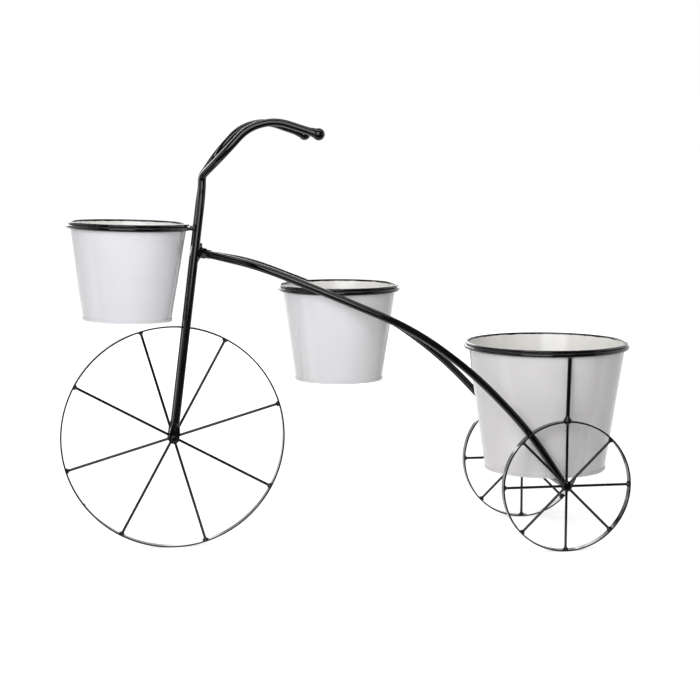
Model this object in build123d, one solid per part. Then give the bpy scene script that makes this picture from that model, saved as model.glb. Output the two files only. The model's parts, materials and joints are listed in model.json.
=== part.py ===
from build123d import *
from math import cos, radians, sin, sqrt, tan
import os

os.makedirs("parts", exist_ok=True)

# A tricycle-shaped plant stand that carries three metal pots.
# Millimetres and degrees. X runs from the front wheel to the rear wheels, Y across the stand and
# Z up from the floor. While the pieces are made, X is zero at the front axle.

# Wheels
front_wheel_radius = 141.5
rear_wheel_radius = 83.0
wheelbase = 484.8
track = 208.0                  # between the middles of the two rear wheels
strip_width = 10.5             # flat strip that is rolled into a wheel rim
strip_thickness = 2.0
strip_edge_radius = 0.5
spoke_diameter = 3.4
spoke_count = 8
spoke_weld_diameter = 6.6      # flare of weld where a spoke meets the rim
spoke_weld_height = 3.6
front_wheel_turn = 16.5        # the front wheel turns freely and stands at this angle
front_hub_diameter = 12.0
rear_hub_diameter = 10.4
rear_hub_length = 9.0
hub_end_bevel = 0.8

# Round stock of the frame
tube_diameter = 9.5
ring_wire_diameter = 5.0
strut_diameter = 5.0

# Front axle
axle_pin_diameter = 6.0
axle_running_gap = 0.05        # between the pin and the bore of the hub, on the radius
hub_side_gap = 0.4             # between the hub and the eye of each fork leg
pin_head_diameter = 9.0
pin_head_height = 2.2
pin_head_round = 1.76

# Fork and handlebars
leg_spread = 12.4              # from the middle plane to the middle of a fork leg
eye_width = 13.0               # the flattened end of a leg, round the axle
eye_thickness = 4.4
eye_straight = 9.0             # from the axle to the start of the change to round
eye_change = 11.0              # length over which the leg changes from flat to round
neck_x = 38.9
neck_height = 457.0
neck_spread = 5.0
bend_height = 19.0             # from where the legs start to come together up to the neck
kink_rise = 12.6               # from the neck to the kink of the handlebars
grip_x = 176.8
grip_spread = 58.7
grip_height = 521.5
grip_ball_diameter = 15.4
grip_collar_diameter = 12.4
grip_collar_length = 9.0
bar_sweep_x = 60.4             # the handlebars spread to this point behind the kink
bar_sweep_spread = 42.6
bar_sweep_height = 495.5
bar_shoulder_x = 91.6          # they rise side by side to this one
bar_shoulder_spread = 44.6
bar_shoulder_height = 529.6
bar_crest_x = 125.4            # and turn down at this one
bar_crest_spread = 47.7
bar_crest_height = 538.3

# Head joint, which bolts the frame tubes to the fork
head_height = 376.0
head_droop = 12.3              # slope of the joint's axis below the level
bolt_diameter = 8.0
bolt_head_flats = 13.0
bolt_head_height = 5.2
bolt_hole_gap = 0.1
sleeve_length = 6.7
washer_diameter = 16.0
washer_thickness = 1.6
nut_flats = 13.0
nut_thickness = 5.5
boss_diameter = 11.4
boss_length = 7.0
bolt_end_gap = 0.6             # from the bolt's end to the start of the frame tubes

# Frame tubes: side view and spread of the points that the bends are set out from
tube_start = 19.0              # from the fork's middle along the axis of the head joint
tube_start_spread = 5.2
tube_splay_x = 105.0
tube_splay_spread = 49.5
tube_splay_height = 359.6
tube_ring_x = 190.0
tube_ring_height = 325.4
tube_ring_inset = 1.1          # the bend beside the mid ring is set out this far inside the tube's touch
tube_back_x = 290.0
tube_back_spread = 98.0
tube_back_height = 283.1
tube_drop_x = 370.0
tube_drop_height = 223.7
tube_foot_x = 440.0
tube_foot_height = 150.0

# Pots: radii are of the outside of the rolled rim and of the seam round the base
pot_sheet = 0.8
rim_bead_diameter = 3.5
small_pot_radius = 75.1
small_pot_base_radius = 56.2
small_pot_depth = 119.6        # from the middle of the rim bead to the bottom edge
rear_pot_radius = 105.5
rear_pot_base_radius = 79.0
rear_pot_depth = 164.7
seam_height = 3.4
seam_gap = 0.08                # between the wall and the channel of the base
base_recess = 2.6              # the base lies this far above the bottom edge
seat_gap = 0.3                 # between a pot and what it rests on
ring_step = 1.3                # the ring's wire lies this far outside the rim bead

front_pot_x = -52.5
front_pot_height = 411.4       # height of the rim bead's middle
front_ring_lean = 1.5          # the front ring dips this much towards the fork
mid_pot_x = 212.0
mid_pot_height = 331.3
rear_pot_x = 486.2

# Welds
neck_weld_diameter = 4.4       # beads that fill the grooves between the two fork tubes
neck_weld_length = 13.0
spoke_weld_gap = 0.02          # left between the edge of a spoke's weld and the rim
weld_flare_diameter = 11.0     # foot of a strut on its wheel
weld_flare_height = 6.0

tube_radius = tube_diameter / 2
wire_radius = ring_wire_diameter / 2
bead_radius = rim_bead_diameter / 2
half_track = track / 2
left, right = -1, 1


def bent_path(points, share=0.46):
    """Straight runs joined by tangent arcs, each arc taking a share of the shorter run."""
    points = [Vector(point) for point in points]
    edges = []
    start = points[0]
    for before, corner, after in zip(points, points[1:], points[2:]):
        arriving = (corner - before).normalized()
        leaving = (after - corner).normalized()
        reach = share * min((corner - before).length, (after - corner).length)
        half_turn = radians(arriving.get_angle(leaving)) / 2
        radius = reach / tan(half_turn)
        inward = (leaving - arriving).normalized()
        arc_start = corner - arriving * reach
        arc_middle = corner + inward * (radius / cos(half_turn) - radius)
        arc_end = corner + leaving * reach
        edges.append(Line(start, arc_start))
        edges.append(ThreePointArc(arc_start, arc_middle, arc_end))
        start = arc_end
    edges.append(Line(start, points[-1]))
    return Wire(edges)


def bent_rod(points, diameter):
    points = [Vector(point) for point in points]
    section = Plane(origin=points[0], z_dir=points[1] - points[0]) * Circle(diameter / 2)
    return sweep(section, path=bent_path(points))


def rod_between(start, end, diameter):
    start = Vector(start)
    run = Vector(end) - start
    base = Plane(origin=start, z_dir=run)
    return extrude(base * Circle(diameter / 2), amount=run.length)


def across(radius, length, centre):
    """A cylinder whose axis runs across the stand."""
    return Location(centre) * Rot(90, 0, 0) * Cylinder(radius, length)


def fork_point(height, spread, side):
    """A point on the fork, whose side view is a straight line from the axle to the neck."""
    rise = (height - front_wheel_radius) / (neck_height - front_wheel_radius)
    return Vector(neck_x * rise, side * spread, height)


# Wheels

def rim(radius):
    strip = Rectangle(strip_thickness, strip_width)
    strip = fillet(strip.vertices(), strip_edge_radius)
    profile = Plane.XY * Location((radius - strip_thickness / 2, 0)) * strip
    return revolve(profile, Axis.Y)


def spoke(hub_radius, rim_radius):
    """One spoke up the Z axis, flared by its weld at the rim."""
    inner = rim_radius - strip_thickness
    weld_radius = spoke_weld_diameter / 2
    end = sqrt(inner**2 - weld_radius**2) - spoke_weld_gap
    rod = spoke_diameter / 2
    neck = end - spoke_weld_height
    with BuildSketch(Plane.XZ) as half:
        with BuildLine():
            Line((0, hub_radius - rod), (rod, hub_radius - rod))
            Line((rod, hub_radius - rod), (rod, neck))
            Line((rod, neck), (weld_radius, end))
            Line((weld_radius, end), (0, end))
            Line((0, end), (0, hub_radius - rod))
        make_face()
    return revolve(half.sketch, Axis.Z)


def spokes(hub_radius, rim_radius):
    one = spoke(hub_radius, rim_radius)
    hub = across(hub_radius, strip_width, (0, 0, 0))
    one = one - hub
    step = 360 / spoke_count
    return [Rot(0, step * number, 0) * one for number in range(spoke_count)]


def hub(radius, length):
    body = across(radius, length, (0, 0, 0))
    return chamfer(body.edges().filter_by(GeomType.CIRCLE), hub_end_bevel)


def front_wheel():
    centre = Location((0, 0, front_wheel_radius)) * Rot(0, -front_wheel_turn, 0)
    hub_length = 2 * (leg_spread - eye_thickness / 2 - hub_side_gap)
    bore = across(axle_pin_diameter / 2 + axle_running_gap, hub_length, (0, 0, 0))
    hub_body = hub(front_hub_diameter / 2, hub_length) - bore
    parts["front_rim"] = centre * rim(front_wheel_radius)
    parts["front_spokes"] = group(centre, spokes(front_hub_diameter / 2, front_wheel_radius))
    parts["front_hub"] = centre * hub_body


def rear_wheel(side, name):
    centre = Location((wheelbase, side * half_track, rear_wheel_radius))
    tube_side = half_track - strip_width / 2
    outer_end = half_track + rear_hub_length / 2
    hub_length = outer_end - tube_side
    hub_centre = Location((wheelbase, side * (tube_side + hub_length / 2), rear_wheel_radius))
    parts[f"rear_rim_{name}"] = centre * rim(rear_wheel_radius)
    parts[f"rear_spokes_{name}"] = group(centre, spokes(rear_hub_diameter / 2, rear_wheel_radius))
    parts[f"rear_hub_{name}"] = hub_centre * hub(rear_hub_diameter / 2, hub_length)


def group(location, solids):
    return Compound(children=[location * solid for solid in solids])


# Fork, handlebars and front axle

def leg_eye(side):
    """The lower end of a leg, pressed flat round the axle, in the leg's own frame."""
    half_width = eye_width / 2
    round_start = eye_straight + eye_change
    plate = across(half_width, eye_thickness, (0, 0, 0))
    strap = Location((0, 0, eye_straight / 2)) * Box(eye_width, eye_thickness, eye_straight)
    flat_section = Location((0, 0, eye_straight)) * Rectangle(eye_width, eye_thickness)
    round_section = Location((0, 0, round_start)) * Circle(tube_radius)
    change = loft([flat_section, round_section])
    hole = across(axle_pin_diameter / 2, 2 * eye_thickness, (0, 0, 0))
    axis = fork_point(neck_height, 0, side) - fork_point(front_wheel_radius, 0, side)
    frame = Plane(origin=fork_point(front_wheel_radius, leg_spread, side), x_dir=(axis.Z, 0, -axis.X), z_dir=axis)
    return frame.location * ((plate + strap + change) - hole), round_start


def fork_tube(side):
    """One leg of the fork, which runs on up and becomes a handlebar."""
    eye, round_start = leg_eye(side)
    axis = (fork_point(neck_height, 0, side) - fork_point(front_wheel_radius, 0, side)).normalized()
    points = [
        fork_point(front_wheel_radius, leg_spread, side) + axis * round_start,
        fork_point(neck_height - bend_height, leg_spread, side),
        fork_point(neck_height, neck_spread, side),
        (neck_x, side * neck_spread, neck_height + kink_rise),
        (bar_sweep_x, side * bar_sweep_spread, bar_sweep_height),
        (bar_shoulder_x, side * bar_shoulder_spread, bar_shoulder_height),
        (bar_crest_x, side * bar_crest_spread, bar_crest_height),
        (grip_x, side * grip_spread, grip_height),
    ]
    return bent_rod(points, tube_diameter) + eye


def grip(side):
    """A ball on the end of a handlebar, with the flared collar that joins them."""
    end = Vector(grip_x, side * grip_spread, grip_height)
    inboard = Vector(bar_crest_x, side * bar_crest_spread, bar_crest_height) - end
    frame = Plane(origin=end, z_dir=inboard)
    ball_radius = grip_ball_diameter / 2
    collar_start = sqrt(ball_radius**2 - (grip_collar_diameter / 2)**2)
    collar = Location((0, 0, collar_start + grip_collar_length / 2)) * Cone(
        grip_collar_diameter / 2, tube_radius, grip_collar_length)
    return frame.location * (Sphere(ball_radius) + collar)


def front_axle():
    pin_length = 2 * (leg_spread + eye_thickness / 2)
    pin = across(axle_pin_diameter / 2, pin_length, (0, 0, 0))
    heads = [
        Location((0, side * (pin_length + pin_head_height) / 2, 0)) * Rot(90, 0, 0)
        * Cylinder(pin_head_diameter / 2, pin_head_height)
        for side in (left, right)
    ]
    for side, head in zip((left, right), heads):
        rim_edges = head.edges().sort_by(Axis.Y)
        outer = rim_edges[0] if side == left else rim_edges[-1]
        pin = pin + fillet(outer, pin_head_round)
    return Location((0, 0, front_wheel_radius)) * pin


# Head joint

def head_frame():
    """The plane across the head joint's axis, in the fork's middle plane."""
    centre = fork_point(head_height, 0, left)
    slope = radians(head_droop)
    return Plane(origin=centre, x_dir=(0, 1, 0), z_dir=(cos(slope), 0, -sin(slope)))


def along_head(start, length, shape):
    return head_frame().location * Location((0, 0, start)) * extrude(shape, amount=length)


def hexagon(flats):
    return RegularPolygon(flats / 2, 6, major_radius=False)


def head_joint(legs, tubes):
    bolt_radius = bolt_diameter / 2
    hole = Circle(bolt_radius + bolt_hole_gap)
    sleeve_start = bolt_head_height - tube_radius
    washer_start = sleeve_start + sleeve_length
    nut_start = washer_start + washer_thickness
    boss_start = nut_start + nut_thickness
    bolt_end = tube_start - bolt_end_gap
    sleeve = along_head(sleeve_start, sleeve_length, Circle(leg_spread) - hole)
    bolt_head = along_head(-tube_radius, bolt_head_height, hexagon(bolt_head_flats))
    shank = along_head(sleeve_start, bolt_end - sleeve_start, Circle(bolt_radius))
    boss = along_head(boss_start, boss_length, Circle(boss_diameter / 2))
    boss_hole = along_head(boss_start, bolt_end + bolt_hole_gap - boss_start, hole)
    parts["head_sleeve"] = sleeve - legs[0] - legs[1]
    parts["head_bolt"] = bolt_head + shank
    parts["head_washer"] = along_head(washer_start, washer_thickness, Circle(washer_diameter / 2) - hole)
    parts["head_nut"] = along_head(nut_start, nut_thickness, hexagon(nut_flats) - hole)
    parts["head_boss"] = boss - boss_hole - tubes[0] - tubes[1]


# Frame tubes and rear axle

def frame_tube(side):
    start = head_frame().origin + head_frame().z_dir * tube_start
    wheel_side = half_track - strip_width / 2 - tube_radius
    ring_side = small_pot_ring_radius + wire_radius + tube_radius
    points = [
        (start.X, side * tube_start_spread, start.Z),
        (tube_splay_x, side * tube_splay_spread, tube_splay_height),
        (tube_ring_x, side * (ring_side - tube_ring_inset), tube_ring_height),
        (tube_back_x, side * tube_back_spread, tube_back_height),
        (tube_drop_x, side * wheel_side, tube_drop_height),
        (tube_foot_x, side * wheel_side, tube_foot_height),
        (wheelbase, side * wheel_side, rear_wheel_radius),
    ]
    return bent_rod(points, tube_diameter) - rear_axle()


def rear_axle():
    length = track - strip_width
    return across(tube_radius, length, (wheelbase, 0, rear_wheel_radius))


# Rings and struts

def bead_centre_radius(pot_radius):
    return pot_radius - bead_radius


def ring_radius(pot_radius):
    return bead_centre_radius(pot_radius) + ring_step


def ring_drop():
    """How far a ring's wire lies below the rim bead that rests on it."""
    return sqrt((bead_radius + wire_radius + seat_gap)**2 - ring_step**2)


def ring(pot_radius):
    return Location((0, 0, -ring_drop())) * Torus(ring_radius(pot_radius), wire_radius)


small_pot_ring_radius = ring_radius(small_pot_radius)
rear_pot_height = rear_wheel_radius + tube_radius + seat_gap + rear_pot_depth
front_pot_place = Location((front_pot_x, 0, front_pot_height)) * Rot(0, front_ring_lean, 0)
mid_pot_place = Location((mid_pot_x, 0, mid_pot_height))
rear_pot_place = Location((rear_pot_x, 0, rear_pot_height))


def neck_welds(legs):
    """Beads along the front and the back of the neck, where the two fork tubes run side by side."""
    height = neck_height + kink_rise / 2 - neck_weld_length / 2
    beads = []
    for reach in (-neck_weld_diameter / 2, neck_weld_diameter / 2):
        start = (neck_x + reach, 0, height)
        end = (neck_x + reach, 0, height + neck_weld_length)
        beads.append(rod_between(start, end, neck_weld_diameter) - legs[0] - legs[1])
    return Compound(children=beads)


def front_ring_stubs(ring_body, legs):
    """Short stubs that weld the front ring to the two legs of the fork."""
    height = front_pot_height - ring_drop() - small_pot_ring_radius * sin(radians(front_ring_lean))
    stubs = []
    for side, leg in zip((left, right), legs):
        leg_end = fork_point(height, leg_spread, side)
        reach = sqrt(small_pot_ring_radius**2 - leg_spread**2)
        start = (front_pot_x + reach, side * leg_spread, height)
        stubs.append(rod_between(start, leg_end, ring_wire_diameter) - ring_body - leg)
    return Compound(children=stubs)


def rear_strut(side, ring_body, wheel_rim):
    """A rod from the top of a rear wheel to the rear ring, with a flared foot."""
    wheel_top = 2 * rear_wheel_radius
    foot = Vector(wheelbase, side * half_track, wheel_top)
    top = Vector(rear_pot_x, side * ring_radius(rear_pot_radius), rear_pot_height - ring_drop())
    rod = rod_between(foot, top, strut_diameter)
    flare = Location(foot + Vector(0, 0, weld_flare_height / 2)) * Cone(
        weld_flare_diameter / 2, strut_diameter / 2, weld_flare_height)
    return (rod + flare) - ring_body - wheel_rim


# Pots

def pot_wall(pot_radius, base_radius, depth):
    """A tapered sheet wall rolled round a wire at the rim, with its origin at the rim's middle."""
    top = bead_centre_radius(pot_radius) - bead_radius + pot_sheet
    bottom = base_radius - pot_sheet - seam_gap
    lift = pot_sheet + seam_gap
    wall = Polygon(
        (bottom, -depth + lift),
        (top, 0),
        (top - pot_sheet, 0),
        (bottom - pot_sheet, -depth + lift),
        align=None,
    )
    bead = Location((bead_centre_radius(pot_radius), 0)) * Circle(bead_radius)
    profile = Plane.XZ * (wall + bead)
    return revolve(profile, Axis.Z)


def pot_base(pot_radius, base_radius, depth):
    """A recessed disc whose edge is a channel that is seamed round the bottom of the wall."""
    floor = -depth + base_recess
    outer = base_radius
    inner = base_radius - 3 * pot_sheet - 2 * seam_gap
    slope = (bead_centre_radius(pot_radius) - bead_radius + 2 * pot_sheet - base_radius) / depth
    lean = slope * seam_height
    channel = Polygon(
        (0, floor),
        (inner - pot_sheet + lean, floor),
        (inner - pot_sheet, -depth),
        (outer, -depth),
        (outer + lean, -depth + seam_height),
        (outer + lean - pot_sheet, -depth + seam_height),
        (outer - pot_sheet, -depth + pot_sheet),
        (inner, -depth + pot_sheet),
        (inner + lean, floor + pot_sheet),
        (0, floor + pot_sheet),
        align=None,
    )
    return revolve(Plane.XZ * channel, Axis.Z)


def pot(name, place, pot_radius, base_radius, depth):
    parts[f"{name}_pot_wall"] = place * pot_wall(pot_radius, base_radius, depth)
    parts[f"{name}_pot_base"] = place * pot_base(pot_radius, base_radius, depth)


parts = {}

legs = [fork_tube(left), fork_tube(right)]
grips = [grip(left), grip(right)]
tubes = [frame_tube(left), frame_tube(right)]
front_ring = front_pot_place * ring(small_pot_radius)
mid_ring = mid_pot_place * ring(small_pot_radius)
rear_ring = rear_pot_place * ring(rear_pot_radius)

front_wheel()
rear_wheel(left, "left")
rear_wheel(right, "right")
parts["front_axle"] = front_axle()
parts["fork_tube_left"] = legs[0] - grips[0]
parts["fork_tube_right"] = legs[1] - grips[1]
parts["grip_left"] = grips[0]
parts["grip_right"] = grips[1]
parts["neck_weld"] = neck_welds(legs)
head_joint(legs, tubes)
parts["frame_tube_left"] = tubes[0]
parts["frame_tube_right"] = tubes[1]
parts["rear_axle"] = rear_axle()
parts["front_ring"] = front_ring
parts["front_ring_stubs"] = front_ring_stubs(front_ring, legs)
parts["mid_ring"] = mid_ring
parts["rear_ring"] = rear_ring
parts["rear_strut_left"] = rear_strut(left, rear_ring, parts["rear_rim_left"])
parts["rear_strut_right"] = rear_strut(right, rear_ring, parts["rear_rim_right"])
pot("front", front_pot_place, small_pot_radius, small_pot_base_radius, small_pot_depth)
pot("mid", mid_pot_place, small_pot_radius, small_pot_base_radius, small_pot_depth)
pot("rear", rear_pot_place, rear_pot_radius, rear_pot_base_radius, rear_pot_depth)

# The finished stand has its origin on the floor, below the middle of its length.
rear_end = rear_pot_x + ring_radius(rear_pot_radius) + wire_radius
middle = Location((-(rear_end - front_wheel_radius) / 2, 0, 0))
for name, shape in parts.items():
    placed = [middle * solid for solid in shape.solids()]
    export_step(placed[0] if len(placed) == 1 else Compound(children=placed), f"parts/{name}.step")
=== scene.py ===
import json
import math

import bmesh
import bpy
import numpy as np
from mathutils import Matrix, Vector
from mathutils.bvhtree import BVHTree


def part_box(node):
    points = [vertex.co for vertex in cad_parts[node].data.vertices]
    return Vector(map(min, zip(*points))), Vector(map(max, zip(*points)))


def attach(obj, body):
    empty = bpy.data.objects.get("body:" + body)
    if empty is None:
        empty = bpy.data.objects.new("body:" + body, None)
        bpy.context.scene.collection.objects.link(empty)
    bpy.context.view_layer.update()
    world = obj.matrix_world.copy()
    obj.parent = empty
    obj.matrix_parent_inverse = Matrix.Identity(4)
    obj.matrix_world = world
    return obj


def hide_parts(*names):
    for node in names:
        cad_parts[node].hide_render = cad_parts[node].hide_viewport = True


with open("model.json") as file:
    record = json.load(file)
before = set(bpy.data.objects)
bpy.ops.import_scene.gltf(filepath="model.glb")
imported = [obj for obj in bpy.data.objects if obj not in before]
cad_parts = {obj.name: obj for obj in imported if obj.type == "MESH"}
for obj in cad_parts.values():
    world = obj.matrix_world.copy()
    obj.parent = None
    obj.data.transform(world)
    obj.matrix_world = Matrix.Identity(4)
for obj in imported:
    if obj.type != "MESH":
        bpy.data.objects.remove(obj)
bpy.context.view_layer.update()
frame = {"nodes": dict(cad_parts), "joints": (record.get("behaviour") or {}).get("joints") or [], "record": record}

# Looks of a tricycle-shaped plant stand: gloss black bent tube and wire, white enamelled pots.
# Metres throughout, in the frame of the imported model.

mm = 0.001
scene = bpy.context.scene
scene.view_settings.view_transform = "Standard"
print("stage 1: frame loaded with", len(frame["nodes"]), "nodes")


# Node helpers

def addNode(tree, kind, x, y, **values):
    node = tree.nodes.new(kind)
    node.location = (x, y)
    for key, value in values.items():
        setattr(node, key, value)
    return node


def makeGroup(name, inputs, outputs):
    group = bpy.data.node_groups.new(name, "ShaderNodeTree")
    for label, value in inputs.items():
        kind = "NodeSocketVector" if value is None else "NodeSocketFloat"
        socket = group.interface.new_socket(label, in_out="INPUT", socket_type=kind)
        if value is not None:
            socket.default_value = value
    for label in outputs:
        group.interface.new_socket(label, in_out="OUTPUT", socket_type="NodeSocketFloat")
    return group, addNode(group, "NodeGroupInput", -900, 0), addNode(group, "NodeGroupOutput", 900, 0)


def placeGroup(tree, group, x, y, values):
    node = addNode(tree, "ShaderNodeGroup", x, y, node_tree=group)
    for label, value in values.items():
        node.inputs[label].default_value = value
    return node


def addMath(tree, operation, x, y, first, second=None, third=None):
    node = addNode(tree, "ShaderNodeMath", x, y, operation=operation)
    for index, value in enumerate((first, second, third)):
        if isinstance(value, (int, float)):
            node.inputs[index].default_value = value
        elif value is not None:
            tree.links.new(value, node.inputs[index])
    return node.outputs[0]


def mixColours(tree, x, y, factor, first, second):
    node = addNode(tree, "ShaderNodeMix", x, y, data_type="RGBA")
    tree.links.new(factor, node.inputs["Factor"])
    for socket, value in ((node.inputs["A"], first), (node.inputs["B"], second)):
        if isinstance(value, tuple):
            socket.default_value = (*value, 1)
        else:
            tree.links.new(value, socket)
    return node.outputs["Result"]


def addRange(tree, x, y, value, ends):
    node = addNode(tree, "ShaderNodeMapRange", x, y)
    node.inputs["From Min"].default_value, node.inputs["From Max"].default_value = ends
    tree.links.new(value, node.inputs["Value"])
    return node


# Paint skin: broad patches give the tone and the roughness, fine grain and rare nibs of dust
# that dried into the paint give the height.
skinMake = {"grainDetail": 3, "patchDetail": 2.5, "patchRange": (0.3, 0.7), "nibRange": (0.12, 0.02),
            "nibShare": 0.6}


def makePaintSkin():
    inputs = {"Vector": None, "Grain Scale": 700, "Patch Scale": 20, "Nib Scale": 160,
              "Smooth": 0.15, "Dull": 0.3}
    group, entry, result = makeGroup("paintSkin", inputs, ("Tone", "Roughness", "Height"))
    link = group.links.new
    grain = addNode(group, "ShaderNodeTexNoise", -600, 200)
    patches = addNode(group, "ShaderNodeTexNoise", -600, -100)
    nibs = addNode(group, "ShaderNodeTexVoronoi", -600, -400)
    grain.inputs["Detail"].default_value = skinMake["grainDetail"]
    patches.inputs["Detail"].default_value = skinMake["patchDetail"]
    for texture, label in ((grain, "Grain Scale"), (patches, "Patch Scale"), (nibs, "Nib Scale")):
        link(entry.outputs["Vector"], texture.inputs["Vector"])
        link(entry.outputs[label], texture.inputs["Scale"])
    spread = addRange(group, 0, -100, patches.outputs[0], skinMake["patchRange"])
    link(entry.outputs["Smooth"], spread.inputs["To Min"])
    link(entry.outputs["Dull"], spread.inputs["To Max"])
    tone = addRange(group, 0, 200, patches.outputs[0], skinMake["patchRange"])
    nib = addRange(group, 0, -400, nibs.outputs["Distance"], skinMake["nibRange"])
    height = addMath(group, "MULTIPLY_ADD", 400, -300, nib.outputs[0], skinMake["nibShare"],
                     grain.outputs[0])
    link(tone.outputs[0], result.inputs["Tone"])
    link(spread.outputs[0], result.inputs["Roughness"])
    link(height, result.inputs["Height"])
    return group


# Pot zones, read in the pot's own frame with the middle of the rim at the origin.
# Inside is 1 where the distance from the axis is less than Wall Radius plus Wall Slope times the
# height. Rim Paint is 1 beyond Paint Radius, and above Paint Line, which wanders as a brush does.
zoneMake = {"brushDetail": 4, "noiseMiddle": 0.5}


def makePotZones():
    inputs = {"Vector": None, "Wall Radius": 0.07, "Wall Slope": 0.15, "Paint Radius": 0.07,
              "Paint Line": 0.0, "Brush Wander": 0.002, "Brush Scale": 70}
    group, entry, result = makeGroup("potZones", inputs, ("Inside", "Rim Paint"))
    link = group.links.new
    split = addNode(group, "ShaderNodeSeparateXYZ", -700, 200)
    link(entry.outputs["Vector"], split.inputs[0])
    across = addMath(group, "MULTIPLY", -500, 300, split.outputs["X"], split.outputs["X"])
    square = addMath(group, "MULTIPLY_ADD", -300, 300, split.outputs["Y"], split.outputs["Y"], across)
    reach = addMath(group, "SQRT", -100, 300, square)
    wall = addMath(group, "MULTIPLY_ADD", -300, 100, split.outputs["Z"], entry.outputs["Wall Slope"],
                   entry.outputs["Wall Radius"])
    inside = addMath(group, "LESS_THAN", 100, 200, reach, wall)
    brush = addNode(group, "ShaderNodeTexNoise", -600, -200)
    brush.inputs["Detail"].default_value = zoneMake["brushDetail"]
    link(entry.outputs["Vector"], brush.inputs["Vector"])
    link(entry.outputs["Brush Scale"], brush.inputs["Scale"])
    swing = addMath(group, "SUBTRACT", -400, -200, brush.outputs[0], zoneMake["noiseMiddle"])
    edge = addMath(group, "MULTIPLY_ADD", -200, -200, swing, entry.outputs["Brush Wander"],
                   entry.outputs["Paint Line"])
    above = addMath(group, "GREATER_THAN", 100, -100, split.outputs["Z"], edge)
    beyond = addMath(group, "GREATER_THAN", 100, -300, reach, entry.outputs["Paint Radius"])
    painted = addMath(group, "MAXIMUM", 300, -200, above, beyond)
    link(inside, result.inputs["Inside"])
    link(painted, result.inputs["Rim Paint"])
    return group


paintSkin = makePaintSkin()
potZones = makePotZones()


def startPaint(name, look):
    material = bpy.data.materials.new(name)
    material.use_nodes = True
    tree = material.node_tree
    shader = tree.nodes["Principled BSDF"]
    shader.inputs["Specular IOR Level"].default_value = look["specular"]
    place = addNode(tree, "ShaderNodeTexCoord", -1500, 0).outputs["Object"]
    bump = addNode(tree, "ShaderNodeBump", -300, -400)
    bump.inputs["Strength"].default_value = look["bumpStrength"]
    bump.inputs["Distance"].default_value = look["bumpDepth"]
    tree.links.new(bump.outputs[0], shader.inputs["Normal"])
    return material, tree, shader, place, bump


# Black enamel of the tubes, wheels, rings and fasteners
gloss = {
    "deep": (0.0025, 0.0025, 0.003), "pale": (0.006, 0.006, 0.0065), "specular": 0.38,
    "bumpStrength": 0.3, "bumpDepth": 0.000005,
    "skin": {"Grain Scale": 420, "Patch Scale": 28, "Nib Scale": 150, "Smooth": 0.06, "Dull": 0.12},
}
weldLook = {
    **gloss, "bumpStrength": 0.6, "bumpDepth": 0.00012,
    "skin": {"Grain Scale": 520, "Patch Scale": 90, "Nib Scale": 330, "Smooth": 0.16, "Dull": 0.34},
}
gripLook = {
    **gloss, "bumpStrength": 0.25, "bumpDepth": 0.00001,
    "skin": {"Grain Scale": 300, "Patch Scale": 40, "Nib Scale": 130, "Smooth": 0.06, "Dull": 0.13},
}


def makeBlackPaint(name, look):
    material, tree, shader, place, bump = startPaint(name, look)
    skin = placeGroup(tree, paintSkin, -900, 0, look["skin"])
    tree.links.new(place, skin.inputs["Vector"])
    colour = mixColours(tree, -400, 200, skin.outputs["Tone"], look["deep"], look["pale"])
    tree.links.new(colour, shader.inputs["Base Color"])
    tree.links.new(skin.outputs["Roughness"], shader.inputs["Roughness"])
    tree.links.new(skin.outputs["Height"], bump.inputs["Height"])
    return material


# White enamel of the pots, cream inside, with a brushed black rim
enamel = {
    "outsideDeep": (0.70, 0.70, 0.71), "outsidePale": (0.76, 0.76, 0.77),
    "insideDeep": (0.83, 0.815, 0.775), "insidePale": (0.89, 0.875, 0.84),
    "rim": (0.006, 0.006, 0.0065), "specular": 0.42, "bumpStrength": 0.3, "bumpDepth": 0.00003,
    "skin": {"Grain Scale": 260, "Patch Scale": 9, "Nib Scale": 60, "Smooth": 0.09, "Dull": 0.16},
}


def makePotPaint(name, look, pot, wallRadius, wallSlope, paintRadius, paintLine):
    material, tree, shader, place, bump = startPaint(name, look)
    centred = addNode(tree, "ShaderNodeMapping", -1300, 0, vector_type="TEXTURE")
    centred.inputs["Location"].default_value = pot["rim"]
    centred.inputs["Rotation"].default_value = (0, pot["lean"], 0)
    tree.links.new(place, centred.inputs["Vector"])
    skin = placeGroup(tree, paintSkin, -900, -200, look["skin"])
    zones = placeGroup(tree, potZones, -900, 300, {
        "Wall Radius": wallRadius, "Wall Slope": wallSlope, "Paint Radius": paintRadius,
        "Paint Line": paintLine, "Brush Wander": potMake["brushWander"]})
    for group in (skin, zones):
        tree.links.new(centred.outputs[0], group.inputs["Vector"])
    # The outside colours take the pot's painted warm cast, which stands in for warm light in the shade.
    deep, pale = (tuple(np.array(look[key]) * pot["shadeWarmth"]) for key in ("outsideDeep", "outsidePale"))
    outside = mixColours(tree, -600, 300, skin.outputs["Tone"], deep, pale)
    inside = mixColours(tree, -600, 100, skin.outputs["Tone"], look["insideDeep"], look["insidePale"])
    enamelled = mixColours(tree, -400, 300, zones.outputs["Inside"], outside, inside)
    colour = mixColours(tree, -200, 300, zones.outputs["Rim Paint"], enamelled, look["rim"])
    tree.links.new(colour, shader.inputs["Base Color"])
    tree.links.new(skin.outputs["Roughness"], shader.inputs["Roughness"])
    tree.links.new(skin.outputs["Height"], bump.inputs["Height"])
    return material


def dress(nodeName, material):
    node = frame["nodes"][nodeName]
    node.data.materials.clear()
    node.data.materials.append(material)
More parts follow.
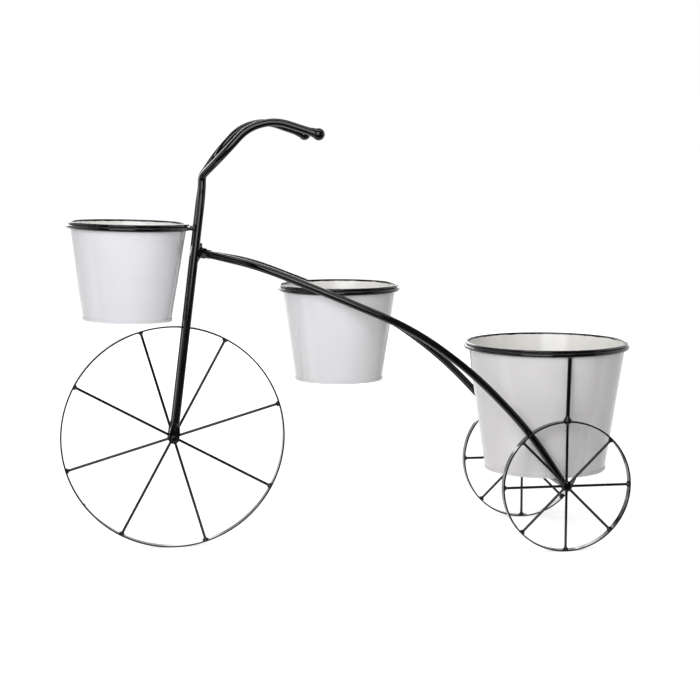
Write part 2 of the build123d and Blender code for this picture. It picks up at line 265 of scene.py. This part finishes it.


# Pots: each depth is from the rim bead's middle, along the pot's axis. Each pot's tint is a painted warm cast
# that stands in for warm light in its shade, strongest on the rear pot; under the cool key lamp the lit middle
# stays neutral.
potSizes = {
    "front": {"rimRadius": 75.1 * mm, "baseRadius": 56.2 * mm, "depth": 119.6 * mm,
              "shadeWarmth": (1, 0.995, 1)},
    "mid": {"rimRadius": 75.1 * mm, "baseRadius": 56.2 * mm, "depth": 119.6 * mm,
            "shadeWarmth": (1, 0.993, 0.985)},
    "rear": {"rimRadius": 105.5 * mm, "baseRadius": 79.0 * mm, "depth": 164.7 * mm,
             "shadeWarmth": (1, 0.978, 0.945)},
}

# The rim's paint begins at paintLine. Nothing lies beyond unpainted, so a base stays white.
potMake = {"beadRadius": 1.75 * mm, "sheet": 0.8 * mm, "floorLift": 3.4 * mm,
           "brushWander": 3.0 * mm, "paintLine": -0.7 * mm, "channelWidth": 2.6 * mm, "unpainted": 1.0}


def readPot(name):
    mount = next(m for m in frame["record"]["mounts"] if m["name"] == f"{name}_pot_floor")
    axis = Vector(mount["axis"])
    pot = dict(potSizes[name])
    pot["axis"] = axis
    pot["rim"] = Vector(mount["pos_m"]) + axis * (pot["depth"] - potMake["floorLift"])
    pot["lean"] = math.atan2(axis.x, axis.z)
    pot["wallTop"] = pot["rimRadius"] - 2 * potMake["beadRadius"] + potMake["sheet"]
    pot["slope"] = (pot["wallTop"] - pot["baseRadius"] + potMake["sheet"]) / pot["depth"]
    return pot


def paintPots(pots):
    for name, pot in pots.items():
        middle = pot["wallTop"] - potMake["sheet"] / 2
        crest = pot["rimRadius"] - potMake["beadRadius"]
        line = potMake["paintLine"]
        wall = makePotPaint(f"{name}PotEnamel", enamel, pot, middle, pot["slope"], crest, line)
        inner = pot["baseRadius"] - potMake["channelWidth"]
        never = potMake["unpainted"]
        floor = makePotPaint(f"{name}PotBaseEnamel", enamel, pot, inner, 0, never, never)
        dress(f"{name}_pot_wall", wall)
        dress(f"{name}_pot_base", floor)


pots = {name: readPot(name) for name in potSizes}
frameGloss = makeBlackPaint("frameGloss", gloss)
weldGloss = makeBlackPaint("weldGloss", weldLook)
gripGloss = makeBlackPaint("gripGloss", gripLook)
for nodeName in frame["nodes"]:
    dress(nodeName, gripGloss if nodeName.startswith("grip") else frameGloss)
paintPots(pots)
print("stage 2: paints made")


# Mesh helpers: a shape is a pair of arrays, its points and its faces

# Rows run along the shape and columns go round it. Neighbouring points make quads, and a fan to
# the middle of the first and last row closes each end unless the rows close on themselves.
def gridShape(points, closedRows=False):
    rows, columns = points.shape[:2]
    corner = np.arange(rows * columns).reshape(rows, columns)
    below = corner if closedRows else corner[:-1]
    above = np.roll(corner, -1, 0) if closedRows else corner[1:]
    quads = np.stack((below, np.roll(below, -1, 1), np.roll(above, -1, 1), above), -1).reshape(-1, 4)
    vertices = points.reshape(-1, 3)
    faces = quads.tolist()
    if not closedRows:
        for row, flip in ((0, 1), (rows - 1, -1)):
            pole = len(vertices)
            vertices = np.vstack((vertices, points[row].mean(0)))
            ring = corner[row][::flip]
            faces += np.stack((np.roll(ring, -1), ring, np.full(columns, pole)), -1).tolist()
    return vertices, faces


def unit(vector):
    vector = np.asarray(vector, float)
    return vector / np.linalg.norm(vector)


def makePiece(name, shapes, material, body):
    vertices, faces = [], []
    count = 0
    for shapePoints, shapeFaces in shapes:
        vertices.append(shapePoints)
        faces += [[corner + count for corner in face] for face in shapeFaces]
        count += len(shapePoints)
    mesh = bpy.data.meshes.new(name)
    mesh.from_pydata(np.vstack(vertices).tolist(), [], faces)
    worked = bmesh.new()
    worked.from_mesh(mesh)
    bmesh.ops.recalc_face_normals(worked, faces=worked.faces)
    worked.to_mesh(mesh)
    worked.free()
    mesh.polygons.foreach_set("use_smooth", np.ones(len(mesh.polygons), bool))
    mesh.materials.append(material)
    piece = bpy.data.objects.new(name, mesh)
    scene.collection.objects.link(piece)
    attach(piece, body)
    return piece


def makeWeld(name, shapes, body="frame"):
    return makePiece(name, shapes, weldGloss, body)


# Weld shapes: how finely each is drawn, how near the poles and ends its rows begin, and the
# heights and numbers of its waves. No weld's axis lies along offAxis.
weldShape = {"nuggetMesh": (11, 18), "poleGap": 0.06, "ringMesh": (40, 10), "rowsPerRipple": 8,
             "runColumns": 14, "runEnd": 0.004, "ringWaves": (7, 11), "secondRingWave": 0.8,
             "rippleHeight": 0.10, "waverHeight": 0.05, "waverTurns": 2.3, "fadePower": 6,
             "offAxis": (0.31, 0.17, 0.93)}


# A nugget of weld: an ellipsoid with its long axis along the run, whose radius is one plus three
# waves of latitude and longitude, so that no two nuggets are alike.
def weldNugget(centre, along, across, halfSizes, seed, rough=0.09):
    rows, columns = weldShape["nuggetMesh"]
    latitude = np.linspace(weldShape["poleGap"], math.pi - weldShape["poleGap"], rows)[:, None]
    longitude = np.linspace(0, 2 * math.pi, columns, endpoint=False)[None, :]
    swell = 1 + rough * (np.sin(3 * longitude + seed) * np.sin(latitude * 2)
                         + np.sin(2 * longitude - 1.7 * seed) * np.sin(latitude * 3 + seed)
                         + 0.7 * np.sin(5 * longitude + 2.3 * seed) * np.sin(latitude) ** 2)
    along = unit(along)
    across = unit(np.asarray(across) - along * np.dot(across, along))
    third = np.cross(along, across)
    offsets = [swell * halfSizes[0] * np.cos(latitude) * np.ones_like(longitude),
               swell * halfSizes[1] * np.sin(latitude) * np.cos(longitude),
               swell * halfSizes[2] * np.sin(latitude) * np.sin(longitude)]
    directions = (along, across, third)
    points = sum(offset[..., None] * direction for offset, direction in zip(offsets, directions))
    return gridShape(np.asarray(centre) + points)


# A ring of weld: a torus about the axis whose thickness is one plus two waves round the ring.
def weldRing(centre, axis, radius, thickness, seed, rough=0.16):
    rows, columns = weldShape["ringMesh"]
    turn = np.linspace(0, 2 * math.pi, rows, endpoint=False)[:, None]
    around = np.linspace(0, 2 * math.pi, columns, endpoint=False)[None, :]
    first, second = weldShape["ringWaves"]
    waves = (np.sin(first * turn + seed)
             + weldShape["secondRingWave"] * np.sin(second * turn - 2 * seed))
    swell = thickness * (1 + rough * waves)
    axis = unit(axis)
    side = unit(np.cross(axis, weldShape["offAxis"]))
    up = np.cross(axis, side)
    outward = np.cos(turn)[..., None] * side + np.sin(turn)[..., None] * up
    points = outward * (radius + swell * np.cos(around))[..., None]
    points = points + axis * (swell * np.sin(around))[..., None]
    return gridShape(np.asarray(centre) + points, closedRows=True)


# A run of weld: a half-round bead along a line, with a ripple for each pause of the torch, that
# fades to nothing at both ends.
def weldRun(start, end, across, halfWidth, halfHeight, ripples, seed):
    start, end = np.asarray(start, float), np.asarray(end, float)
    endGap = weldShape["runEnd"]
    travel = np.linspace(endGap, 1 - endGap, weldShape["rowsPerRipple"] * ripples + 1)[:, None]
    around = np.linspace(0, 2 * math.pi, weldShape["runColumns"], endpoint=False)[None, :]
    fade = np.sqrt(1 - (2 * travel - 1) ** weldShape["fadePower"])
    ripple = np.cos(2 * math.pi * ripples * travel + seed)
    waver = np.sin(2 * math.pi * weldShape["waverTurns"] * travel + 3 * seed)
    swell = fade * (1 + weldShape["rippleHeight"] * ripple + weldShape["waverHeight"] * waver)
    along = unit(end - start)
    across = unit(np.asarray(across) - along * np.dot(across, along))
    third = np.cross(along, across)
    path = start + travel[..., None] * (end - start)
    points = path + (swell * halfWidth * np.cos(around))[..., None] * across
    points = points + (swell * halfHeight * np.sin(around))[..., None] * third
    return gridShape(points)


# Wheels: welds at both ends of the spokes and where the ends of the rim's strip meet
wheelMake = {
    "spokes": 8, "strip": 2.0 * mm, "halfStrip": 5.25 * mm, "frontTurn": math.radians(16.5),
    "frontHub": 6.0 * mm, "rearHub": 5.2 * mm, "spokeRadius": 1.7 * mm,
    "rimNugget": (1.9 * mm, 3.7 * mm, 3.0 * mm), "hubThickness": 1.25 * mm,
    "nuggetSink": 0.4, "seedPerMetre": 70, "hubSink": 0.5, "hubGap": 0.3 * mm,
    "jointAngle": math.radians(205), "jointBead": (1.3 * mm, 0.55 * mm), "jointRipples": 5,
    "jointInset": 0.4 * mm,
    "seeds": {"frontHub": 1.0, "frontJoint": 0.2, "left": 2.0, "right": 3.4, "rearJoint": 0.1},
}


def rimNuggets(centre, radius, turn):
    nuggets = []
    depth, width, height = wheelMake["rimNugget"]
    for number in range(wheelMake["spokes"]):
        angle = turn + 2 * math.pi * number / wheelMake["spokes"]
        outward = np.array((math.cos(angle), 0, math.sin(angle)))
        inward = wheelMake["strip"] + wheelMake["nuggetSink"] * depth
        foot = np.asarray(centre) + outward * (radius - inward)
        seed = number + radius * wheelMake["seedPerMetre"]
        nuggets.append(weldNugget(foot, outward, (0, 1, 0), (depth, height, width), seed))
    return nuggets


def hubRings(centre, hubRadius, seed):
    reach = wheelMake["spokeRadius"] + wheelMake["hubSink"] * wheelMake["hubThickness"]
    return [weldRing(np.asarray(centre) + (0, side * reach, 0), (0, 1, 0),
                     hubRadius + wheelMake["hubGap"], wheelMake["hubThickness"], seed + side)
            for side in (-1, 1)]


def stripJoint(centre, radius, seed):
    angle = wheelMake["jointAngle"] + seed
    outward = np.array((math.cos(angle), 0, math.sin(angle)))
    base = np.asarray(centre) + outward * (radius - wheelMake["strip"])
    half = np.array((0, wheelMake["halfStrip"] - wheelMake["jointInset"], 0))
    along = np.cross(outward, (0, 1, 0))
    ripples = wheelMake["jointRipples"]
    return weldRun(base - half, base + half, along, *wheelMake["jointBead"], ripples, seed)


def makeWheelWelds():
    seeds = wheelMake["seeds"]
    spin = next(j for j in frame["joints"] if j["name"] == "front_wheel_spin")
    low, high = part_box("front_rim")
    radius = (high.x - low.x) / 2
    shapes = rimNuggets(spin["pos_m"], radius, wheelMake["frontTurn"])
    makeWeld("frontSpokeWelds", shapes, "front_wheel")
    shapes = hubRings(spin["pos_m"], wheelMake["frontHub"], seeds["frontHub"])
    makeWeld("frontHubWelds", shapes, "front_wheel")
    shapes = [stripJoint(spin["pos_m"], radius, seeds["frontJoint"])]
    makeWeld("frontRimJoint", shapes, "front_wheel")
    for sideName in ("left", "right"):
        seed = seeds[sideName]
        low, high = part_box(f"rear_rim_{sideName}")
        centre = (low + high) / 2
        radius = (high.x - low.x) / 2
        label = sideName.capitalize()
        shapes = rimNuggets(centre, radius, 0)
        makeWeld(f"rearSpokeWelds{label}", shapes)
        shapes = hubRings(centre, wheelMake["rearHub"], seed)
        makeWeld(f"rearHubWelds{label}", shapes)
        shapes = [stripJoint(centre, radius, seeds["rearJoint"] * seed)]
        makeWeld(f"rearRimJoint{label}", shapes)


makeWheelWelds()
print("stage 3: wheel welds made")


# Frame: welds of the neck, the rings, the struts and the rear axle
weldMake = {
    "neckWidth": 2.3 * mm, "neckDepth": 2.5 * mm, "neckRipples": 7,
    "midRing": (6.0 * mm, 1.9 * mm, 1.9 * mm), "stub": (2.6 * mm, 2.6 * mm, 2.2 * mm),
    "strutTop": (3.3 * mm, 2.9 * mm, 2.7 * mm), "strutFootRadius": 4.3 * mm,
    "axleKnuckle": (5.5 * mm, 5.3 * mm, 5.4 * mm), "tubeRadius": 4.75 * mm,
    "strutFootRise": 0.9 * mm, "strutFootBead": 1.0 * mm, "knuckleRough": 0.04,
    "wireRadius": 2.5 * mm, "stubInset": 0.9 * mm, "ringSteps": 720,
    "seeds": {"neck": 1.3, "midRing": 4.1, "stubFront": 5.2, "stubBack": 2.2, "strutTop": 1.9,
              "strutFoot": 3.3, "knuckle": 2.7},
}


def readRing(ringName):
    low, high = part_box(ringName)
    return np.array((low + high) / 2), (high.y - low.y) / 2 - weldMake["wireRadius"]


# Where a wire ring comes nearest to another node: the ring's centre line is tried at even steps,
# and the point lies on the wire's surface, towards the node.
def ringTouch(ringName, nodeName):
    middle, radius = readRing(ringName)
    turn = np.linspace(0, 2 * math.pi, weldMake["ringSteps"], endpoint=False)
    circle = middle + radius * np.stack((np.cos(turn), np.sin(turn), 0 * turn), -1)
    mesh = frame["nodes"][nodeName].data
    tree = BVHTree.FromPolygons([vertex.co for vertex in mesh.vertices],
                                [face.vertices for face in mesh.polygons])
    found = [tree.find_nearest(point) for point in circle]
    best = min(range(len(found)), key=lambda number: found[number][3])
    towards = unit(np.array(found[best][0]) - circle[best])
    return circle[best] + towards * weldMake["wireRadius"], towards


def makeNeckWeld():
    low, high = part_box("neck_weld")
    reach = (high.x - low.x) / 4
    middle = (low.x + high.x) / 2
    shapes = []
    for step in (-1, 1):
        x = middle + step * reach
        shapes.append(weldRun((x, 0, low.z), (x, 0, high.z), (0, 1, 0), weldMake["neckDepth"],
                              weldMake["neckWidth"], weldMake["neckRipples"],
                              weldMake["seeds"]["neck"] * step))
    piece = makeWeld("neckWeldBead", shapes)
    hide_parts("neck_weld")


def makeRingWelds():
    seeds = weldMake["seeds"]
    shapes = []
    for side, sideName in ((-1, "left"), (1, "right")):
        touch, towards = ringTouch("mid_ring", f"frame_tube_{sideName}")
        along = np.cross(towards, (0, 0, 1))
        shapes.append(weldNugget(touch, along, towards, weldMake["midRing"], seeds["midRing"] * side))
    makeWeld("midRingWelds", shapes)
    low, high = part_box("front_ring_stubs")
    shapes = []
    for side in (-1, 1):
        y = side * (high.y - weldMake["wireRadius"])
        for x, seed in ((low.x + weldMake["stubInset"], seeds["stubFront"]),
                        (high.x - weldMake["stubInset"], seeds["stubBack"])):
            centre = (x, y, (low.z + high.z) / 2)
            shapes.append(weldNugget(centre, (1, 0, 0), (0, 1, 0), weldMake["stub"], seed * side))
    makeWeld("frontRingWelds", shapes)


def makeRearWelds():
    seeds = weldMake["seeds"]
    tops, feet, knuckles = [], [], []
    ringMiddle, ringRadius = readRing("rear_ring")
    for side, sideName in ((-1, "left"), (1, "right")):
        top = ringMiddle + (0, side * ringRadius, -weldMake["wireRadius"])
        tops.append(weldNugget(top, (0, 0, 1), (1, 0, 0), weldMake["strutTop"], seeds["strutTop"] * side))
        low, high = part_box(f"rear_strut_{sideName}")
        foot = ((low.x + high.x) / 2, (low.y + high.y) / 2, low.z + weldMake["strutFootRise"])
        feet.append(weldRing(foot, (0, 0, 1), weldMake["strutFootRadius"], weldMake["strutFootBead"],
                             seeds["strutFoot"] * side))
        low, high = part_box(f"rear_hub_{sideName}")
        inner = low.y if side > 0 else high.y
        joint = ((low.x + high.x) / 2, inner - side * weldMake["tubeRadius"], (low.z + high.z) / 2)
        knuckles.append(weldNugget(joint, (0, 1, 0), (1, 0, 0), weldMake["axleKnuckle"],
                                   seeds["knuckle"] * side, weldMake["knuckleRough"]))
    makeWeld("strutTopWelds", tops)
    makeWeld("strutFootWelds", feet)
    makeWeld("axleKnuckleWelds", knuckles)


makeNeckWeld()
makeRingWelds()
makeRearWelds()
print("stage 4: frame welds made")


# Pot seams: the sheet's edges are folded together down the back of each pot
seamMake = {"halfWidth": 2.6 * mm, "proud": 0.45 * mm, "topDrop": 8.5 * mm, "bottomLift": 4.0 * mm,
            "angle": math.radians(78), "mesh": (40, 20), "waves": (260, 97), "waveHeight": 0.06,
            "flatness": 1 / 3}


# The section is a flat lens: half the width times the cosine of the angle across, and the height
# times the sine to the power of the flatness, carried down the outside of the cone.
def potSeam(pot):
    turn = Matrix.Rotation(pot["lean"], 3, "Y")
    rows, columns = seamMake["mesh"]
    fall = np.linspace(seamMake["topDrop"], pot["depth"] - seamMake["bottomLift"], rows)[:, None]
    around = np.linspace(0, 2 * math.pi, columns, endpoint=False)[None, :]
    radius = pot["wallTop"] - fall * pot["slope"]
    fast, slow = seamMake["waves"]
    wave = 1 + seamMake["waveHeight"] * np.sin(fall * fast) * np.sin(fall * slow)
    lens = np.sign(np.sin(around)) * np.abs(np.sin(around)) ** seamMake["flatness"]
    reach = radius + seamMake["proud"] * lens * wave
    sideways = seamMake["halfWidth"] * np.cos(around) * wave
    radial = np.array((math.cos(seamMake["angle"]), math.sin(seamMake["angle"]), 0))
    tangent = np.array((-radial[1], radial[0], 0))
    points = reach[..., None] * radial + sideways[..., None] * tangent
    points = points - (fall * np.ones_like(around))[..., None] * np.array((0, 0, 1))
    return gridShape(points @ np.array(turn).T + np.array(pot["rim"]))


def makePotSeams():
    for name, pot in pots.items():
        paint = frame["nodes"][f"{name}_pot_wall"].data.materials[0]
        makePiece(f"{name}PotSeam", [potSeam(pot)], paint, f"{name}_pot")


makePotSeams()
print("stage 5: pot seams made")


# Studio: a pale floor, an even pale world, one large soft lamp at the left of the camera, a strip
# above and a panel behind. The floor glows more with the distance, so that it stays white.
studio = {
    "floorHalf": 40.0, "floorColour": (0.86, 0.86, 0.86), "worldLight": 0.13,
    "glowNear": 0.66, "glowFar": 0.95, "nearReach": 0.7, "farReach": 2.6,
    "lamps": {
        "keyLamp": {"place": (-0.62, -1.55, 0.95), "size": (1.4, 1.5), "watts": 27.5,
                    "colour": (0.97, 0.98, 1.0)},
        "topLamp": {"place": (0.0, -0.3, 1.9), "size": (1.9, 0.3), "watts": 10},
        "backLamp": {"place": (-0.3, 2.3, 1.0), "size": (2.4, 0.9), "watts": 22},
    },
    "aim": (0.12, 0.0, 0.25),
    "curtain": {"halfWidth": 5.0, "colour": (0.02, 0.02, 0.02),
                "profile": [(-0.22, 0.01), (-3.2, 0.01), (-3.2, 3.0), (0.2, 3.0)]},
}


# One where the surface is seen by the camera, in a reflection or through glass
def seenDirectly(tree):
    path = addNode(tree, "ShaderNodeLightPath", -900, 200)
    camera, glossy = path.outputs["Is Camera Ray"], path.outputs["Is Glossy Ray"]
    either = addMath(tree, "MAXIMUM", -700, 200, camera, glossy)
    return addMath(tree, "MAXIMUM", -500, 200, either, path.outputs["Is Transmission Ray"])


def makeWorld():
    world = bpy.data.worlds.new("paleWorld")
    world.use_nodes = True
    scene.world = world
    tree = world.node_tree
    background = tree.nodes["Background"]
    background.inputs["Color"].default_value = (1, 1, 1, 1)
    strength = addNode(tree, "ShaderNodeMapRange", -300, 0)
    strength.inputs["To Min"].default_value = studio["worldLight"]
    tree.links.new(seenDirectly(tree), strength.inputs["Value"])
    tree.links.new(strength.outputs[0], background.inputs["Strength"])


def makeFloor():
    half = studio["floorHalf"]
    mesh = bpy.data.meshes.new("paleFloor")
    corners = [(-half, -half, 0), (half, -half, 0), (half, half, 0), (-half, half, 0)]
    mesh.from_pydata(corners, [], [(0, 1, 2, 3)])
    floor = bpy.data.objects.new("paleFloor", mesh)
    scene.collection.objects.link(floor)
    material = bpy.data.materials.new("paleFloor")
    material.use_nodes = True
    tree = material.node_tree
    tree.nodes.remove(tree.nodes["Principled BSDF"])
    matt = addNode(tree, "ShaderNodeBsdfDiffuse", -200, 100)
    matt.inputs["Color"].default_value = (*studio["floorColour"], 1)
    glow = addNode(tree, "ShaderNodeEmission", -200, -100)
    place = addNode(tree, "ShaderNodeTexCoord", -1100, -300).outputs["Object"]
    reach = addNode(tree, "ShaderNodeVectorMath", -900, -300, operation="LENGTH")
    tree.links.new(place, reach.inputs[0])
    rise = addRange(tree, -700, -300, reach.outputs["Value"], (studio["nearReach"], studio["farReach"]))
    for label, key in (("To Min", "glowNear"), ("To Max", "glowFar")):
        rise.inputs[label].default_value = studio[key]
    strength = addMath(tree, "MULTIPLY", -350, -100, seenDirectly(tree), rise.outputs[0])
    tree.links.new(strength, glow.inputs["Strength"])
    both = addNode(tree, "ShaderNodeAddShader", 0, 0)
    tree.links.new(matt.outputs[0], both.inputs[0])
    tree.links.new(glow.outputs[0], both.inputs[1])
    tree.links.new(both.outputs[0], tree.nodes["Material Output"].inputs["Surface"])
    mesh.materials.append(material)


# The dark room behind the camera, a curtain seen in reflections alone: its profile is (y, z)
def makeCurtain():
    curtain = studio["curtain"]
    half, profile = curtain["halfWidth"], curtain["profile"]
    mesh = bpy.data.meshes.new("darkCurtain")
    corners = [(side * half, y, z) for y, z in profile for side in (-1, 1)]
    faces = [(2 * i, 2 * i + 1, 2 * i + 3, 2 * i + 2) for i in range(len(profile) - 1)]
    mesh.from_pydata(corners, [], faces)
    cloth = bpy.data.objects.new("darkCurtain", mesh)
    scene.collection.objects.link(cloth)
    for ray in ("camera", "diffuse", "transmission", "shadow"):
        setattr(cloth, f"visible_{ray}", False)
    material = bpy.data.materials.new("darkCurtain")
    material.use_nodes = True
    shader = material.node_tree.nodes["Principled BSDF"]
    shader.inputs["Base Color"].default_value = (*curtain["colour"], 1)
    shader.inputs["Roughness"].default_value = 1
    shader.inputs["Specular IOR Level"].default_value = 0
    mesh.materials.append(material)


def makeLamps():
    aim = Vector(studio["aim"])
    for name, lamp in studio["lamps"].items():
        data = bpy.data.lights.new(name, "AREA")
        data.shape = "RECTANGLE"
        data.size, data.size_y = lamp["size"]
        data.energy = lamp["watts"]
        data.color = lamp.get("colour", (1, 1, 1))
        lampObject = bpy.data.objects.new(name, data)
        lampObject.location = lamp["place"]
        lampObject.rotation_euler = (aim - Vector(lamp["place"])).to_track_quat("-Z", "Y").to_euler()
        lampObject.visible_camera = False
        scene.collection.objects.link(lampObject)


# Camera: where the photograph was taken from
view = {"place": (-0.381589, -2.183091, 0.521176), "yaw": 9.922, "down": 7.031, "roll": 0.092,
        "lens": 89.836, "clipEnd": 50}


def makeCamera():
    yaw, down, roll = (math.radians(view[key]) for key in ("yaw", "down", "roll"))
    ahead = Vector((math.sin(yaw) * math.cos(down), math.cos(yaw) * math.cos(down), -math.sin(down)))
    level = Vector((math.cos(yaw), -math.sin(yaw), 0))
    upward = level.cross(ahead)
    rightward = level * math.cos(roll) + upward * math.sin(roll)
    upward = upward * math.cos(roll) - level * math.sin(roll)
    turn = Matrix((rightward, upward, -ahead)).transposed()
    data = bpy.data.cameras.new("photoCamera")
    data.lens = view["lens"]
    data.clip_end = view["clipEnd"]
    camera = bpy.data.objects.new("photoCamera", data)
    camera.matrix_world = Matrix.Translation(view["place"]) @ turn.to_4x4()
    scene.collection.objects.link(camera)
    scene.camera = camera


makeWorld()
makeFloor()
makeCurtain()
makeLamps()
makeCamera()
print("stage 6: studio and camera made")
